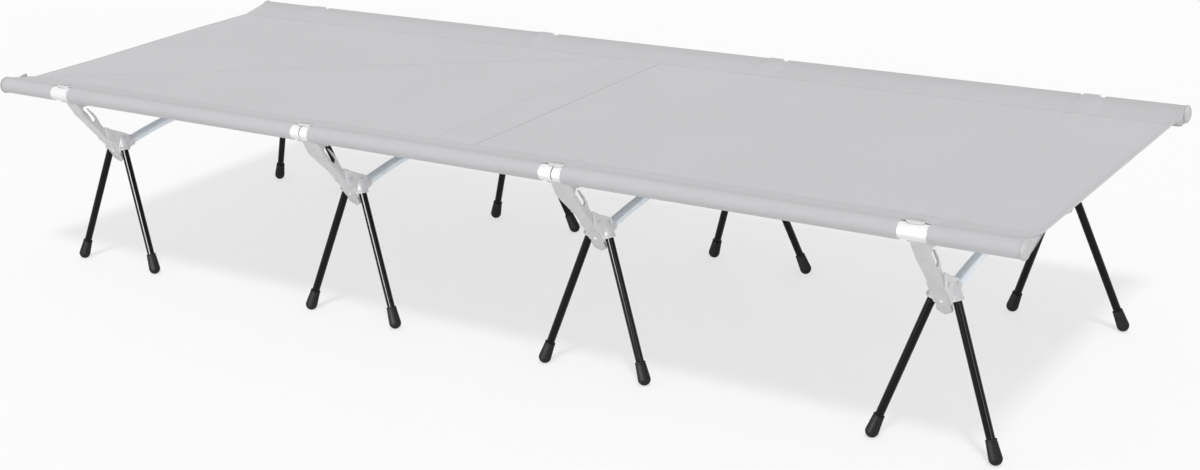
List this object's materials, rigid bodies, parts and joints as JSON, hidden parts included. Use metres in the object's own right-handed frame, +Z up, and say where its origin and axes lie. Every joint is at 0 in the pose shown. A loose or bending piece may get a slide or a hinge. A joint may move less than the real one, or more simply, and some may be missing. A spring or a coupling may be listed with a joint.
{
  "type": "camping cot",
  "caption": "Low camping cot with a taut fabric bed sleeved on side rails, carried by arched crossbars, hinged lever arms and splayed tube legs with ball-end rubber feet.",
  "frame": {"origin": "on the floor, under the middle of the bed", "axes": "+X along the bed, +Y across it toward the far rail, +Z up"},
  "size_m": [1.9146, 0.7088, 0.3599],
  "materials": {
    "bed_cloth": "plain woven polyester, pale grey",
    "rail_alloy": "bright silver tube",
    "crossbar_alloy": "anodised pale blue-grey tube",
    "hub_moulding": "light grey moulded plastic",
    "lever_moulding": "light grey moulded plastic",
    "leg_coating": "gloss black coated tube",
    "foot_rubber": "dark grey rubber"
  },
  "bodies": {
    "base": {"bed_fabric": "bed_cloth", "crossbar_1": "crossbar_alloy", "crossbar_2": "crossbar_alloy", "crossbar_3": "crossbar_alloy", "crossbar_4": "crossbar_alloy", "near_hub_1": "hub_moulding", "near_leg_1a": "leg_coating", "near_foot_1a": "foot_rubber", "near_leg_1b": "leg_coating", "near_foot_1b": "foot_rubber", "near_hub_2": "hub_moulding", "near_leg_2a": "leg_coating", "near_foot_2a": "foot_rubber", "near_leg_2b": "leg_coating", "near_foot_2b": "foot_rubber", "near_hub_3": "hub_moulding", "near_leg_3a": "leg_coating", "near_foot_3a": "foot_rubber", "near_leg_3b": "leg_coating", "near_foot_3b": "foot_rubber", "near_hub_4": "hub_moulding", "near_leg_4a": "leg_coating", "near_foot_4a": "foot_rubber", "near_leg_4b": "leg_coating", "near_foot_4b": "foot_rubber", "far_hub_1": "hub_moulding", "far_leg_1a": "leg_coating", "far_foot_1a": "foot_rubber", "far_leg_1b": "leg_coating", "far_foot_1b": "foot_rubber", "far_hub_2": "hub_moulding", "far_leg_2a": "leg_coating", "far_foot_2a": "foot_rubber", "far_leg_2b": "leg_coating", "far_foot_2b": "foot_rubber", "far_hub_3": "hub_moulding", "far_leg_3a": "leg_coating", "far_foot_3a": "foot_rubber", "far_leg_3b": "leg_coating", "far_foot_3b": "foot_rubber", "far_hub_4": "hub_moulding", "far_leg_4a": "leg_coating", "far_foot_4a": "foot_rubber", "far_leg_4b": "leg_coating", "far_foot_4b": "foot_rubber"},
    "near_lever_1": {"near_arm_1": "lever_moulding", "near_rail_left": "rail_alloy", "near_rail_middle": "rail_alloy", "near_rail_right": "rail_alloy"},
    "near_lever_2": {"near_arm_2": "lever_moulding"},
    "near_lever_3": {"near_arm_3": "lever_moulding"},
    "near_lever_4": {"near_arm_4": "lever_moulding"},
    "far_lever_1": {"far_arm_1": "lever_moulding", "far_rail_left": "rail_alloy", "far_rail_middle": "rail_alloy", "far_rail_right": "rail_alloy"},
    "far_lever_2": {"far_arm_2": "lever_moulding"},
    "far_lever_3": {"far_arm_3": "lever_moulding"},
    "far_lever_4": {"far_arm_4": "lever_moulding"}
  },
  "joints": [
    {"name": "near_pivot_1", "type": "hinge", "parent": "base", "child": "near_lever_1", "pos_m": [-0.803, -0.257, 0.245], "axis": [-1, 0, 0], "range_deg": [0, 25], "deforming": ["bed_fabric"]},
    {"name": "near_pivot_2", "type": "hinge", "parent": "base", "child": "near_lever_2", "pos_m": [-0.2425, -0.257, 0.245], "axis": [-1, 0, 0], "range_deg": [0, 25]},
    {"name": "near_pivot_3", "type": "hinge", "parent": "base", "child": "near_lever_3", "pos_m": [0.2425, -0.257, 0.245], "axis": [-1, 0, 0], "range_deg": [0, 25]},
    {"name": "near_pivot_4", "type": "hinge", "parent": "base", "child": "near_lever_4", "pos_m": [0.803, -0.257, 0.245], "axis": [-1, 0, 0], "range_deg": [0, 25]},
    {"name": "far_pivot_1", "type": "hinge", "parent": "base", "child": "far_lever_1", "pos_m": [-0.803, 0.257, 0.245], "axis": [1, 0, 0], "range_deg": [0, 25], "deforming": ["bed_fabric"]},
    {"name": "far_pivot_2", "type": "hinge", "parent": "base", "child": "far_lever_2", "pos_m": [-0.2425, 0.257, 0.245], "axis": [1, 0, 0], "range_deg": [0, 25]},
    {"name": "far_pivot_3", "type": "hinge", "parent": "base", "child": "far_lever_3", "pos_m": [0.2425, 0.257, 0.245], "axis": [1, 0, 0], "range_deg": [0, 25]},
    {"name": "far_pivot_4", "type": "hinge", "parent": "base", "child": "far_lever_4", "pos_m": [0.803, 0.257, 0.245], "axis": [1, 0, 0], "range_deg": [0, 25]}
  ],
  "couplings": [
    {"joint": "near_pivot_2", "follows": "near_pivot_1", "ratio": 1},
    {"joint": "near_pivot_3", "follows": "near_pivot_1", "ratio": 1},
    {"joint": "near_pivot_4", "follows": "near_pivot_1", "ratio": 1},
    {"joint": "far_pivot_2", "follows": "far_pivot_1", "ratio": 1},
    {"joint": "far_pivot_3", "follows": "far_pivot_1", "ratio": 1},
    {"joint": "far_pivot_4", "follows": "far_pivot_1", "ratio": 1}
  ]
}
